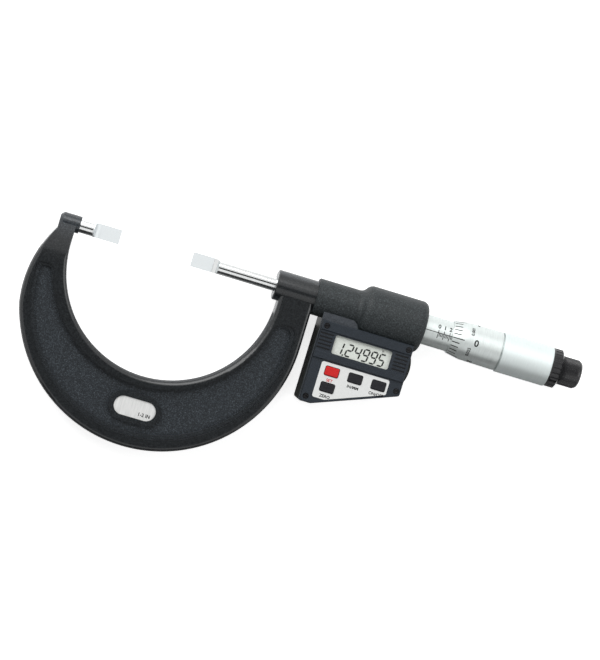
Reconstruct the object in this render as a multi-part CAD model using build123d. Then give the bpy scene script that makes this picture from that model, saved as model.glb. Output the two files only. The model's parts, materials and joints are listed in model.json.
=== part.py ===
from build123d import *
import os
from math import cos, radians, sin, tan

# Outside micrometer for 25.4 to 50.8 mm with blade faces, a spindle that slides
# without turning, and a digital readout beside the thimble.  Millimetres.
# +X runs along the measuring axis from the anvil to the ratchet, -Y towards the
# bow of the frame, +Z out of the face of the readout.  The origin is the centre
# of the anvil's measuring face.

# ---- Driving sizes: the measurement --------------------------------------
least_gap = 25.4          # gap between the blades at the low end of the range
most_gap = 50.8           # gap at the high end
gap = 31.75               # gap at which the tool is drawn

# ---- Clearances ------------------------------------------------------------
snug = 0.01               # pieces pressed or screwed together
running = 0.03            # a shaft that turns or slides in its hole
sleeve_running = 0.05     # thimble over sleeve, and screw in its nut
float_gap = 0.1           # end play at shoulders
free = 0.2                # parts that move past each other
clear = 0.3               # parts that never touch
over = 1.0                # how far a cut runs out past the surface it opens

# ---- Spindle and anvil -------------------------------------------------------
spindle_r = 3.175
spindle_length = 55.85    # measuring face to the coupling
blade_thick = 0.76
spindle_blade_length = 9.0
anvil_reach = 17.8        # anvil's boss to its measuring face
anvil_blade_length = 11.55
anvil_shank_r = 2.5
anvil_shank_length = 6.0

# ---- Frame -------------------------------------------------------------------
frame_thick = 11.0
bow_outer_r = 60.8
bow_outer_centre = (25.9, -23.8)
bow_inner_r = 45.6
bow_inner_centre = (26.2, -8.5)
bow_leaves_at = 194.0     # angle on the outer circle where the left arm leaves it
arm_left_bend = (-31.8, -14.8)
arm_left_neck = 3.35      # below the axis, where the left arm runs into the anvil's boss
anvil_boss_r = 3.75
anvil_boss_length = 9.0
anvil_boss_chamfer = 1.3
boss_r = 6.55
boss_left = 69.0
boss_right = 86.9
boss_chamfer = 0.4
arm_top_thick = 7.0       # thickness of the frame where it meets the anvil boss
arm_taper_start = -18.0   # height at which that taper begins
bead_r = 1.7              # rounding of the rims
bead_top = -5.0           # height above which the rims are left sharp for the bosses
outer_rim_left = 4.0      # widths of the rim outside the panel
outer_rim_bottom = 5.0
outer_rim_right = 3.4
inner_rim_left = 5.8      # and of the rim inside it
inner_rim_bottom = 3.8
inner_rim_right = 2.4
panel_left_top = -18.9
panel_right_top = -15.3
panel_left_round = 2.4
panel_right_round = 4.1
outer_land = 1.9          # width of the ledge between the panel's two steps
inner_land = 0.7
rim_step = 1.1            # first step down from the rims
web_thick = 5.4           # what is left between the two panels
plate_centre = (26.5, -67.7)
plate_length = 18.4
plate_height = 8.3
plate_thick = 0.5
plate_edge = 0.12
collar_wall = 2.3
collar_rise = 1.9
pocket_depth = 0.9

# ---- Guide key in the frame boss ------------------------------------------------
key_screw_from_boss = 10.9
key_screw_r = 1.5
key_screw_sunk = 0.35
key_tip_r = 0.7
key_tip_gap = 0.25
keyway_depth = 1.2
key_slot_width = 0.5
key_slot_depth = 0.6

# ---- Encoder housing --------------------------------------------------------------
neck_r = 8.05
neck_length = 17.7
flare_length = 6.0
housing_r = 11.4
chamber_length = 22.0
housing_round = 3.0
housing_chamfer = 0.35
housing_bore_r = 9.2
neck_bore_r = 4.6
spigot_length = 4.0
spigot_wall = 0.8
stator_from_flare = 3.2
stator_shoulder = 0.6
stator_inner_gap = 0.9
flex_room = 4.4           # chamber left of the stator, where its cable turns down
board_ring_thick = 1.0
rotor_gap = 0.4
rotor_thick = 1.0
rotor_r = 8.4
hub_flange_r = 6.5
hub_flange_thick = 1.0
hub_r = 5.0
bush_length = 4.0
clip_thick = 0.6
clip_depth = 0.4
clip_height = 1.2
pin_r = 0.6
pin_sunk = 0.1
pin_tip_gap = 0.25
cap_spigot = 4.2
spacer_wall = 1.4

# ---- Sleeve, nut and screw -----------------------------------------------------------
sleeve_r = 6.6
sleeve_length = 36.4
zero_from_housing = 5.95  # thimble's edge to the housing at the low end of the range
nut_sleeve_r = 5.5
nut_flange = 2.4
nut_tail_r = 4.8
nut_tail_length = 6.0
nut_relief = 0.4
nut_slit = 0.4
nut_slit_length = 10.0
nut_slits = 3
thread_r = 3.8
thread_length = 28.0      # threaded length of the nut
thread_from_hub = 2.45    # thread to encoder hub at the low end of the range
screw_shank_r = 3.1
shank_keyway_width = 1.4
shank_keyway_depth = 0.9
adjusting_nut_r = 6.2
adjusting_nut_length = 5.0
notch_width = 1.4
notch_length = 1.5
notch_floor = 0.5

# ---- Coupling between the spindle and the screw ------------------------------------------
coupling_r = 4.3
coupling_length = 6.4
coupling_lip = 1.2
coupling_edge = 0.3
flange_r = 2.8
flange_thick = 1.2
screw_neck_r = 2.2
journal_r = 1.9
journal_length = 6.0

# ---- Thimble ---------------------------------------------------------------------------------
thimble_length = 45.0
thimble_edge_r = 7.1
bevel_length = 6.5
bevel_blend = 1.2
bevel_blend_drop = 0.15
bevel_r = 8.25
thimble_r = 8.5
shoulder_length = 22.0    # graduated edge to the groove before the band
shoulder_edge = 0.2
groove_width = 0.5
band_seat_r = 7.7
band_r = 8.85
band_edge = 0.3
web_clearance = 0.65
web_length = 5.1
cone_large_r = 3.7
cone_small_r = 3.0
ring_r = 8.5
ring_length = 4.9
ring_spigot = 2.3
ring_spigot_r = 7.0
ring_chamfer = 0.8
ring_slope = 1.3
ring_flutes = 24
flute_r = 0.9
flute_depth = 0.35
flute_end = 0.8

# ---- Ratchet -----------------------------------------------------------------------------------
knob_r = 6.05
knob_length = 9.3
knob_round = 1.6
knob_neck_r = 5.0
knob_cavity_r = 4.3
knob_end_wall = 5.1
wheel_r = 4.1
wheel_thick = 2.7
ratchet_teeth = 18
tooth_height = 0.5
tooth_fill = 0.9          # share of the tooth pitch that the sloping flank takes
pawl_thick = 2.4
lug_width = 1.2
lug_length = 1.4
lug_reach = 0.6
lug_gap = 0.1
spring_wire = 0.6
spring_r = 3.3
spring_turns = 4
ratchet_screw_r = 2.0
ratchet_thread_r = 1.5
ratchet_thread_length = 10.0
ratchet_thread_free = 0.5
ratchet_head_r = 3.5
ratchet_head_thick = 1.6
ratchet_head_sunk = 0.6
ratchet_slot_width = 0.8
ratchet_slot_depth = 0.6

# ---- Readout case and bezel ------------------------------------------------------------------------
case_from_frame = 4.9
case_width = 41.6
case_top = -4.6
case_bottom = -44.3
slant_angle = 20.8        # slope of the lower edge
case_right_low = -30.65   # where the right side meets that edge
case_back = -11.2
case_front = 6.3
case_wall = 2.4
case_back_wall = 1.6
case_corner = 1.2
case_edge = 0.8
board_ledge = 0.8
ledge_play = 0.15
bezel_inset = 0.5
bezel_top = -8.1
bar_front = 9.3
strip_front = 8.7
panel_front = 8.5
bezel_under = 7.5         # underside of the bezel's plate
bezel_wall = 1.2
bar_break = 0.35
upper_bar = 4.4           # height of the raised bar above the window
strip_height = 8.7        # height of the lower strip that holds the window
lower_bar = 3.4           # height of the raised bar below it
window_from_left = 7.6
window_width = 25.4
window_height = 8.15
window_from_bar = 0.5
window_corner = 0.9
window_lip = 0.6
lens_margin = 0.6
lens_play = 0.05
lens_thick = 0.8
grip_count = 5
grip_pitch = 1.57
grip_width = 0.7
grip_depth = 0.35
grip_length = 5.9
grip_left_gap = 0.9
grip_right_gap = 1.4
lcd_thick = 1.9
lcd_side = 0.8
lcd_foot = 1.15
strip_inset = 1.5
strip_width = 1.5
strip_from_window = 0.95
board_thick = 1.0
board_front = 3.6
board_from_rail = 2.0

# ---- Keypad -----------------------------------------------------------------------------------------------
key_width = 6.5
key_height = 4.4
key_corner = 0.8
key_gap = 0.3
key_edge = 0.3
key_travel = 0.5
key_proud = 0.65
key_flange = 0.7
key_flange_thick = 0.5
key_from_left = 10.4
key_pitch = 10.45
key_row_y = -28.7
key_row_pitch = 7.0
keys_in_row = 3
label_thick = 0.15
label_from_left = 5.1
label_width = 30.35
label_top = -25.2
label_low = -41.0
label_margin = 0.8
label_corner = 0.9
switch_body = 4.5
switch_body_height = 2.0
switch_stem_r = 1.1
switch_rest_gap = 0.05
chip_large = 8.0
chip_large_thick = 1.5
chip_large_corner = (113.5, -30.0)
chip_small = (5.0, 4.0)
chip_small_thick = 1.2
chip_small_corner = (96.5, -24.0)

# ---- Screws of the bezel and the case -----------------------------------------------------------------------
screw_from_left = 2.6
screw_from_right = 2.3
screw_top_y = -10.35
screw_right_y = -28.8
screw_left_y = -41.6
bezel_head_r = 1.15
bezel_head_thick = 0.8
bezel_head_sunk = 0.2
bezel_head_play = 0.15
bezel_slot_width = 0.4
bezel_slot_depth = 0.4
bezel_shank_r = 0.7
short_screw = 1.0         # bite of the two screws over the housing
long_screw = 4.0          # bite of the two screws in the lower posts
post_r = 1.9
rail_height = 1.7
fixing_from_left = 6.2
fixing_pitch = 24.0
fixing_z = -2.0
fixing_r = 1.0
fixing_head_r = 1.8
fixing_head = 1.2
fixing_seat = 1.4         # wall of the case under the head
neck_bite = 2.1
chamber_bite = 1.6
fixing_slot_width = 0.6
fixing_slot_depth = 0.5

# ---- Battery and data port --------------------------------------------------------------------------------------
cell_from_left = 16.2
cell_y = -26.0
cell_r = 5.8
cell_thick = 5.4
cell_edge = 0.4
cell_play = 0.15
cover_r = 7.2
cover_thick = 1.6
cover_edge = 0.3
cover_rim = 1.1
cover_skirt = 0.9
cover_lug = 1.1
cover_lug_width = 3.0
cover_slot = 1.4
cover_slot_length = 10.4
cover_slot_depth = 0.8
well_wall = 1.0
well_floor = 1.0
well_lug_room = 1.3
contact_thick = 0.3
contact_width = 4.0
contact_inner = 1.0
contact_outer = 4.6
tail_from_middle = 4.0
tail_width = 2.4
port_centre_y = -18.9
port_width = 8.2
port_height = 4.2
port_play = 0.15
port_cap_length = 12.8
port_cap_height = 8.0
port_cap_rise = 1.4
plug_depth = 3.1          # how far the cap's tongue reaches in
socket_recess = 0.9
socket_length = 4.2
socket_wall = 0.8
socket_low_wall = 0.6
flex_thick = 0.3
flex_width = 4.0
flex_low = -16.0
flex_high = -7.6

# ---- Places worked out from the sizes above --------------------------------------------------------------------
travel_in = gap - least_gap
travel_out = most_gap - gap
half_blade = blade_thick / 2
half_frame = frame_thick / 2
half_web = web_thick / 2
spindle_bore_r = spindle_r + running
anvil_boss_right = -anvil_reach
anvil_boss_left = anvil_boss_right - anvil_boss_length
arm_left_outer = bow_outer_centre[0] - bow_outer_r
arm_right_outer = bow_outer_centre[0] + bow_outer_r
arm_left_inner = bow_inner_centre[0] - bow_inner_r
arm_right_inner = bow_inner_centre[0] + bow_inner_r
bow_bottom_outer = bow_outer_centre[1] - bow_outer_r
bow_bottom_inner = bow_inner_centre[1] - bow_inner_r
key_x = boss_right - key_screw_from_boss
plate_floor = half_web + collar_rise - pocket_depth

neck_end = boss_right + neck_length
flare_end = neck_end + flare_length
cap_left = flare_end + chamber_length
housing_right = cap_left + housing_round
stator_x = flare_end + stator_from_flare
cavity_left = stator_x - flex_room
spigot_left = boss_right - spigot_length
spigot_r = neck_bore_r + spigot_wall
rotor_left = stator_x + board_ring_thick + rotor_gap
hub_left = rotor_left + rotor_thick
bush_left = hub_left + hub_flange_thick + float_gap
bush_right = bush_left + bush_length
pin_x = (bush_left + bush_right) / 2
clip_left = bush_right + float_gap
clip_right = clip_left + clip_thick
clip_seat_r = hub_r - clip_depth
hub_right = clip_right + free
nut_flange_right = cap_left - cap_spigot
nut_flange_left = nut_flange_right - nut_flange
sleeve_right = housing_right + sleeve_length
nut_right = sleeve_right + nut_tail_length
nut_left = nut_right - thread_length
thread_left = hub_right + travel_in + thread_from_hub
thread_right = nut_right + travel_in + float_gap

coupling_left = gap + spindle_length
coupling_right = coupling_left + coupling_length
lip_left = coupling_right - coupling_lip
flange_right = lip_left - float_gap
flange_left = flange_right - flange_thick
spindle_end = flange_left - float_gap
journal_left = spindle_end - journal_length
shank_left = coupling_right + clear
counterbore_left = coupling_left - travel_in - clear

thimble_left = housing_right + zero_from_housing + travel_in
thimble_shoulder = thimble_left + shoulder_length
band_left = thimble_shoulder + groove_width
thimble_right = thimble_left + thimble_length
bevel_right = thimble_left + bevel_length
web_left = nut_right + travel_in + web_clearance
web_right = web_left + web_length
ring_right = thimble_right + ring_length
knob_right = ring_right + knob_length
knob_wall = knob_right - knob_end_wall
wheel_right = web_right + wheel_thick
pawl_left = wheel_right + float_gap
pawl_right = pawl_left + pawl_thick
knob_left = pawl_left + tooth_height
head_seat = knob_right - ratchet_head_thick - ratchet_head_sunk

case_left = boss_right + case_from_frame
case_right = case_left + case_width
slope = radians(slant_angle)
inner_top = bezel_top - bezel_wall - clear
rail_bottom = inner_top - rail_height
post_inset = bezel_inset + bezel_wall + float_gap
upper_bar_low = bezel_top - upper_bar
lower_bar_top = upper_bar_low - strip_height
lower_bar_low = lower_bar_top - lower_bar
window_left = case_left + window_from_left
window_right = window_left + window_width
window_top = upper_bar_low - window_from_bar
window_low = window_top - window_height
window_middle = ((window_left + window_right) / 2, (window_top + window_low) / 2)
lens_front = strip_front - window_lip
lcd_front = lens_front - lens_thick
lcd_back = lcd_front - lcd_thick
board_back = board_front - board_thick
board_inset = case_wall - board_ledge
key_front = panel_front + key_proud
key_shelf = bezel_under - float_gap
key_back = key_shelf - key_flange_thick
key_first_x = case_left + key_from_left
label_left = case_left + label_from_left
label_right = label_left + label_width
screw_left_x = case_left + screw_from_left
screw_right_x = case_right - screw_from_right
top_screws = ((screw_left_x, screw_top_y), (screw_right_x, screw_top_y))
low_screws = ((screw_right_x, screw_right_y), (screw_left_x, screw_left_y))
neck_fixing_x = case_left + fixing_from_left
fixings = ((neck_fixing_x, neck_r, neck_bite), (neck_fixing_x + fixing_pitch, housing_r, chamber_bite))
cell_x = case_left + cell_from_left
cover_inside = case_back + cover_thick
battery_back = cover_inside + float_gap
battery_front = battery_back + cell_thick
well_r = cover_r + free + cover_lug + well_wall
well_top = battery_front + contact_thick + well_floor
bayonet_top = cover_inside + well_lug_room
port_wall = case_right - case_wall
port_half_width = port_width / 2
port_half_height = port_height / 2


# ---- Helpers -------------------------------------------------------------------------------------------------------
def turned(*profile):
    """Solid of revolution about the measuring axis from (x, radius) corners."""
    section = make_face(Polyline(*profile, close=True))
    return revolve(section, Axis.X)


def rod(x0, x1, radius):
    """Plain cylinder on the measuring axis."""
    return turned((x0, 0), (x1, 0), (x1, radius), (x0, radius))


def tube(x0, x1, outer, inner):
    """Plain ring on the measuring axis."""
    return turned((x0, inner), (x1, inner), (x1, outer), (x0, outer))


def block(x0, x1, y0, y1, z0, z1):
    """Box between two corners."""
    return Pos((x0 + x1) / 2, (y0 + y1) / 2, (z0 + z1) / 2) * Box(x1 - x0, y1 - y0, z1 - z0)


def disc(x, y, z0, z1, radius):
    """Upright cylinder."""
    return Pos(x, y, (z0 + z1) / 2) * Cylinder(radius, z1 - z0)


def bolt(x, y0, y1, z, radius):
    """Cylinder that lies along Y."""
    return Pos(x, (y0 + y1) / 2, z) * Rot(90, 0, 0) * Cylinder(radius, abs(y1 - y0))


def prism(outline, z0, z1):
    """A flat outline in XY raised between two heights."""
    return extrude(Pos(0, 0, z0) * outline, z1 - z0)


def outer_rim(body, radius):
    """The right-hand edge among the circles of one radius about the measuring axis."""
    rims = body.edges().filter_by(GeomType.CIRCLE)
    rims = rims.filter_by(lambda e: abs(e.radius - radius) < snug)
    return rims.sort_by(Axis.X)[-1]


def group(solids):
    """Several like pieces in one node."""
    return Compound(children=[piece.solid() for piece in solids])


def save(name, shape):
    """Write one node."""
    export_step(shape, f"parts/{name}.step")


# ---- Frame -----------------------------------------------------------------------------------------------------------
def frame_outline():
    """The bow seen from the front, as far up as the middle of the two bosses."""
    cx, cy = bow_outer_centre
    ix, iy = bow_inner_centre
    leaves = radians(bow_leaves_at)
    left_foot = (cx + bow_outer_r * cos(leaves), cy + bow_outer_r * sin(leaves))
    left_neck = (anvil_boss_left + snug, -arm_left_neck)
    left_axis = (anvil_boss_left + snug, 0)
    edge = Line((arm_right_outer, 0), (arm_right_outer, cy))
    edge += ThreePointArc((arm_right_outer, cy), (cx, bow_bottom_outer), left_foot)
    edge += ThreePointArc(left_foot, arm_left_bend, left_neck)
    edge += Line(left_neck, left_axis)
    edge += Line(left_axis, (arm_left_inner, 0))
    edge += Line((arm_left_inner, 0), (arm_left_inner, iy))
    edge += ThreePointArc((arm_left_inner, iy), (ix, bow_bottom_inner), (arm_right_inner, iy))
    edge += Line((arm_right_inner, iy), (arm_right_inner, 0))
    edge += Line((arm_right_inner, 0), (arm_right_outer, 0))
    return make_face(edge)


def panel(outer_shrink, inner_shrink):
    """Sunk panel between the rims: a crescent with a round right end and a blunt left end."""
    left = arm_left_outer + outer_rim_left
    right = arm_right_outer - outer_rim_right
    outer_r = (right - left) / 2
    outer_y = bow_bottom_outer + outer_rim_bottom + outer_r
    crescent = Pos((left + right) / 2, outer_y) * Circle(outer_r - outer_shrink)
    left = arm_left_inner - inner_rim_left
    right = arm_right_inner + inner_rim_right
    inner_r = (right - left) / 2
    inner_y = bow_bottom_inner - inner_rim_bottom + inner_r
    crescent -= Pos((left + right) / 2, inner_y) * Circle(inner_r + inner_shrink)

    shrink = (outer_shrink + inner_shrink) / 2
    middle = (left + right) / 2
    tall = 2 * outer_r
    for side, top in ((-1, panel_left_top), (1, panel_right_top)):
        crescent -= Pos(middle + side * tall / 2, top - shrink + tall / 2) * Rectangle(tall, tall)
    ends = crescent.vertices()
    crescent = fillet(ends.filter_by(lambda v: v.X < middle), panel_left_round - shrink)
    ends = crescent.vertices().filter_by(lambda v: v.X > middle and v.Y > panel_right_top - shrink - snug)
    return fillet(ends, panel_right_round - shrink)


def arm_taper():
    """Space above the left arm where the frame thins towards the anvil."""
    top = arm_top_thick / 2
    start = (arm_taper_start, half_frame)
    edge = TangentArc(start, (0, top), tangent=(1, 0))
    edge += Line((0, top), (0, half_frame + over))
    edge += Line((0, half_frame + over), (arm_taper_start, half_frame + over))
    edge += Line((arm_taper_start, half_frame + over), start)
    return extrude(Plane.YZ * make_face(edge), arm_left_outer - over)


def rim_edges(body):
    """The long edges between the faces of the bow and its walls."""
    walls = body.faces().filter_by(lambda f: abs(f.normal_at().Z) < snug)
    edges = ShapeList()
    for wall in walls:
        edges += wall.edges().filter_by(lambda e: abs(e.center().Z) > half_web and e.center().Y < bead_top)
    return edges


def frame_body():
    """Forged bow of I section with the anvil boss, the spindle boss and the plate's collar."""
    body = extrude(frame_outline(), half_frame, both=True)
    body = fillet(rim_edges(body), bead_r)
    taper = arm_taper()
    body -= taper
    body -= mirror(taper, Plane.XY)

    # panels on both faces, in two steps
    step = panel(0, 0)
    deep = panel(outer_land, inner_land)
    ledge = half_frame - rim_step
    for low, outline in ((ledge, step), (half_web, deep)):
        cut = prism(outline, low, half_frame + over)
        body -= cut
        body -= mirror(cut, Plane.XY)

    # raised collar for the name plate
    collar = SlotOverall(plate_length + 2 * collar_wall, plate_height + 2 * collar_wall)
    pocket = SlotOverall(plate_length + 2 * snug, plate_height + 2 * snug)
    collar_top = half_web + collar_rise
    body += prism(Pos(*plate_centre) * collar, 0, collar_top)
    body -= prism(Pos(*plate_centre) * pocket, plate_floor, collar_top + over)

    # bosses and their bores
    body += turned((anvil_boss_left, 0), (anvil_boss_right, 0), (anvil_boss_right, anvil_boss_r),
                   (anvil_boss_left + anvil_boss_chamfer, anvil_boss_r),
                   (anvil_boss_left, anvil_boss_r - anvil_boss_chamfer))
    body += turned((boss_left, 0), (boss_right, 0), (boss_right, boss_r),
                   (boss_left + boss_chamfer, boss_r), (boss_left, boss_r - boss_chamfer))
    shank_end = anvil_boss_right - anvil_shank_length - float_gap
    body -= rod(shank_end, anvil_boss_right + over, anvil_shank_r + snug)
    body -= rod(boss_left - over, boss_right + over, spindle_bore_r)
    body -= rod(counterbore_left, boss_right + over, neck_bore_r)
    body -= rod(spigot_left, boss_right + over, spigot_r + snug)
    body -= disc(key_x, 0, -boss_r - over, -spindle_r, key_screw_r + snug)
    return body


def name_plate():
    """Blank oval plate held in the collar."""
    plate = prism(Pos(*plate_centre) * SlotOverall(plate_length, plate_height),
                  plate_floor, plate_floor + plate_thick)
    return chamfer(plate.faces().sort_by(Axis.Z)[-1].edges(), plate_edge)


def blade_cut(face, direction, length):
    """Space ground away above one side of a blade, with the wheel's round at its root."""
    round_r = spindle_r - half_blade
    root = face + direction * length
    rest = round_r * (1 - cos(radians(45)))
    front = face - direction * over
    edge = Line((front, half_blade), (root - direction * round_r, half_blade))
    edge += ThreePointArc((root - direction * round_r, half_blade),
                          (root - direction * rest, half_blade + rest), (root, spindle_r))
    edge += Line((root, spindle_r), (root, spindle_r + over))
    edge += Line((root, spindle_r + over), (front, spindle_r + over))
    edge += Line((front, spindle_r + over), (front, half_blade))
    return extrude(Plane.XZ * make_face(edge), spindle_r + over, both=True)


def anvil():
    """Fixed face: a stem pressed into the frame, ground down to a blade."""
    body = rod(anvil_boss_right - anvil_shank_length, anvil_boss_right, anvil_shank_r)
    body += rod(anvil_boss_right, 0, spindle_r)
    cut = blade_cut(0, -1, anvil_blade_length)
    return body - cut - mirror(cut, Plane.XY)


def guide_key_screw():
    """Slotted screw from the back of the boss; its tip keeps the spindle from turning."""
    head = key_screw_sunk - boss_r
    seat = -spindle_r - clear
    body = disc(key_x, 0, head, seat, key_screw_r)
    body += disc(key_x, 0, seat, keyway_depth - spindle_r - key_tip_gap, key_tip_r)
    return body - block(key_x - 2 * key_screw_r, key_x + 2 * key_screw_r, -key_slot_width / 2,
                        key_slot_width / 2, head - over, head + key_slot_depth)


# ---- Spindle and its coupling to the screw -------------------------------------------------------------------------------
def spindle():
    """Sliding face: blade, round stem, keyway and the bore for the screw's journal."""
    body = rod(gap, spindle_end, spindle_r)
    cut = blade_cut(gap, 1, spindle_blade_length + spindle_r - half_blade)
    body -= cut
    body -= mirror(cut, Plane.XY)
    body -= rod(journal_left - float_gap, spindle_end + over, journal_r + running)
    start = key_x - travel_out - key_tip_r - free
    end = key_x + travel_in + key_tip_r + free
    half = key_tip_r + running
    return body - block(start, end, -half, half, -spindle_r - over, keyway_depth - spindle_r)


def spindle_coupling():
    """Cup nut on the spindle's end that holds the screw's flange but lets it turn."""
    chamber = spindle_r + snug
    bore = screw_neck_r + float_gap
    shoulder = coupling_r - coupling_edge
    return turned((coupling_left, chamber), (lip_left, chamber), (lip_left, bore), (coupling_right, bore),
                  (coupling_right, shoulder), (coupling_right - coupling_edge, coupling_r),
                  (coupling_left + coupling_edge, coupling_r), (coupling_left, shoulder))


def lead_screw():
    """Journal, thrust flange, keyed shank, thread, cone for the thimble and tapped end."""
    body = turned((journal_left, 0), (web_right, 0), (web_right, cone_small_r), (web_left, cone_large_r),
                  (thread_right, cone_large_r), (thread_right, thread_r), (thread_left, thread_r),
                  (thread_left, screw_shank_r), (shank_left, screw_shank_r), (shank_left, screw_neck_r),
                  (flange_right, screw_neck_r), (flange_right, flange_r), (flange_left, flange_r),
                  (flange_left, journal_r), (journal_left, journal_r))
    body -= rod(web_right - ratchet_thread_length, web_right + over, ratchet_thread_r + snug)
    half = shank_keyway_width / 2
    start = pin_x - travel_out - pin_r - free
    end = pin_x + travel_in + pin_r + free
    return body - block(start, end, -half, half, screw_shank_r - shank_keyway_depth, screw_shank_r + over)


# ---- Encoder ------------------------------------------------------------------------------------------------------------------
def housing_shell(grow):
    """Outside of the encoder housing from the frame to its end cap, grown by a clearance."""
    neck = neck_r + grow
    large = housing_r + grow
    middle = ((neck_end + flare_end) / 2, (neck + large) / 2)
    first = TangentArc((neck_end, neck), middle, tangent=(1, 0))
    edge = Line((boss_right, 0), (boss_right, neck))
    edge += Line((boss_right, neck), (neck_end, neck))
    edge += first
    edge += TangentArc(middle, (flare_end, large), tangent=first % 1)
    edge += Line((flare_end, large), (cap_left, large))
    edge += Line((cap_left, large), (cap_left, 0))
    edge += Line((cap_left, 0), (boss_right, 0))
    return revolve(make_face(edge), Axis.X)


def housing_envelope(grow):
    """Solid filled shape of the housing and its cap, used to seat the case against it."""
    return housing_shell(grow) + rod(cap_left, housing_right, housing_r + grow)


def encoder_housing():
    """Cast shell: neck with a spigot into the frame, flare and a round chamber."""
    body = housing_shell(0)
    body = chamfer(body.edges().filter_by(GeomType.CIRCLE).sort_by(Axis.X)[0], housing_chamfer)
    body += rod(spigot_left, boss_right + over, spigot_r)
    body -= rod(spigot_left - over, cavity_left + over, neck_bore_r)
    body -= rod(cavity_left, stator_x, housing_bore_r - stator_shoulder)
    body -= rod(stator_x, cap_left + over, housing_bore_r)
    for x, wall, bite in fixings:
        body -= bolt(x, -wall - over, bite - wall, fixing_z, fixing_r + snug)
    return body - flex_strip(free)


def housing_end_cap():
    """Rounded end of the housing, with a spigot that clamps the nut sleeve's flange."""
    bore = nut_sleeve_r + snug
    spigot = housing_bore_r - snug
    body = turned((nut_flange_right, bore), (housing_right, bore), (housing_right, housing_r),
                  (cap_left, housing_r), (cap_left, spigot), (nut_flange_right, spigot))
    return fillet(outer_rim(body, housing_r), housing_round - running)


def encoder_stator():
    """Ring-shaped circuit board seated on the chamber's shoulder."""
    return tube(stator_x, stator_x + board_ring_thick, housing_bore_r - snug, screw_shank_r + stator_inner_gap)


def encoder_rotor():
    """Patterned disc that turns in front of the stator."""
    return tube(rotor_left, hub_left, rotor_r, screw_shank_r + free)


def rotor_hub():
    """Brass hub: flange for the disc, journal, groove for the clip and the drive pin's hole."""
    bore = screw_shank_r + running
    flange_end = hub_left + hub_flange_thick
    body = turned((hub_left, bore), (hub_right, bore), (hub_right, hub_r), (clip_right, hub_r),
                  (clip_right, clip_seat_r), (clip_left, clip_seat_r), (clip_left, hub_r),
                  (flange_end, hub_r), (flange_end, hub_flange_r), (hub_left, hub_flange_r))
    return body - disc(pin_x, 0, 0, hub_r + over, pin_r + snug)


def drive_pin():
    """Pin in the hub that reaches into the screw's keyway."""
    return disc(pin_x, 0, screw_shank_r - shank_keyway_depth + pin_tip_gap, hub_r - pin_sunk, pin_r)


def rotor_clip():
    """Retaining ring that keeps the hub in its bush."""
    return tube(clip_left, clip_right, hub_r + clip_height, clip_seat_r + snug)


def encoder_bush():
    """Plain bearing for the hub."""
    return tube(bush_left, bush_right, housing_bore_r - snug, hub_r + running)


def spacer_ring():
    """Keeps the bush up against its seat."""
    return tube(bush_right, nut_flange_left, housing_bore_r - snug, housing_bore_r - spacer_wall)


# ---- Sleeve and nut -----------------------------------------------------------------------------------------------------------------
def nut_sleeve():
    """Flanged inner sleeve whose far end is the slit measuring nut."""
    wide = thread_r + nut_relief
    narrow = thread_r + sleeve_running
    flange = housing_bore_r - snug
    body = turned((nut_flange_left, wide), (nut_left, wide), (nut_left + nut_relief, narrow),
                  (nut_right, narrow), (nut_right, nut_tail_r), (sleeve_right, nut_tail_r),
                  (sleeve_right, nut_sleeve_r), (nut_flange_right, nut_sleeve_r),
                  (nut_flange_right, flange), (nut_flange_left, flange))
    slit = block(nut_right - nut_slit_length, nut_right + over, -nut_slit / 2, nut_slit / 2,
                 0, nut_sleeve_r + over)
    for i in range(nut_slits):
        body -= Rot((i + 0.5) * 360 / nut_slits, 0, 0) * slit
    return body


def adjusting_nut():
    """Ring nut that closes the slit nut to take up wear, with two spanner notches."""
    right = sleeve_right + adjusting_nut_length
    body = tube(sleeve_right, right, adjusting_nut_r, nut_tail_r + snug)
    notch = block(right - notch_length, right + over, -notch_width / 2, notch_width / 2,
                  nut_tail_r + notch_floor, adjusting_nut_r + over)
    return body - notch - mirror(notch, Plane.XY)


def graduated_sleeve():
    """Outer sleeve that carries the scale."""
    return tube(housing_right, sleeve_right, sleeve_r, nut_sleeve_r + snug)


# ---- Thimble --------------------------------------------------------------------------------------------------------------------------
def thimble():
    """Bevelled thimble with a coned web that grips the screw."""
    bore = sleeve_r + sleeve_running
    spigot = ring_spigot_r + snug
    return turned((thimble_left, bore), (web_left, bore), (web_left, cone_large_r + snug),
                  (web_right, cone_small_r + snug), (web_right, spigot), (thimble_right, spigot),
                  (thimble_right, band_seat_r), (thimble_shoulder, band_seat_r),
                  (thimble_shoulder, thimble_r - shoulder_edge),
                  (thimble_shoulder - shoulder_edge, thimble_r), (bevel_right, bevel_r),
                  (bevel_right - bevel_blend, bevel_r - bevel_blend_drop), (thimble_left, thimble_edge_r))


def thimble_band():
    """Plain sleeve pressed over the gripping end of the thimble."""
    bore = band_seat_r + snug
    shoulder = band_r - band_edge
    return turned((band_left, bore), (thimble_right, bore), (thimble_right, shoulder),
                  (thimble_right - band_edge, band_r), (band_left + band_edge, band_r), (band_left, shoulder))


def thimble_ring():
    """Black end ring with shallow flutes and a chamfered end."""
    spigot_end = thimble_right - ring_spigot
    bore = knob_neck_r + clear
    ring = turned((spigot_end, bore), (ring_right, bore), (ring_right, ring_r - ring_slope),
                  (ring_right - ring_chamfer, ring_r), (thimble_right, ring_r),
                  (thimble_right, ring_spigot_r), (spigot_end, ring_spigot_r))
    flute = Pos((thimble_right + ring_right) / 2, 0, ring_r + flute_r - flute_depth) * Rot(0, 90, 0)
    flute *= Cylinder(flute_r, ring_length - 2 * flute_end)
    for i in range(ring_flutes):
        ring -= Rot(i * 360 / ring_flutes, 0, 0) * flute
    return ring


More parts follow.
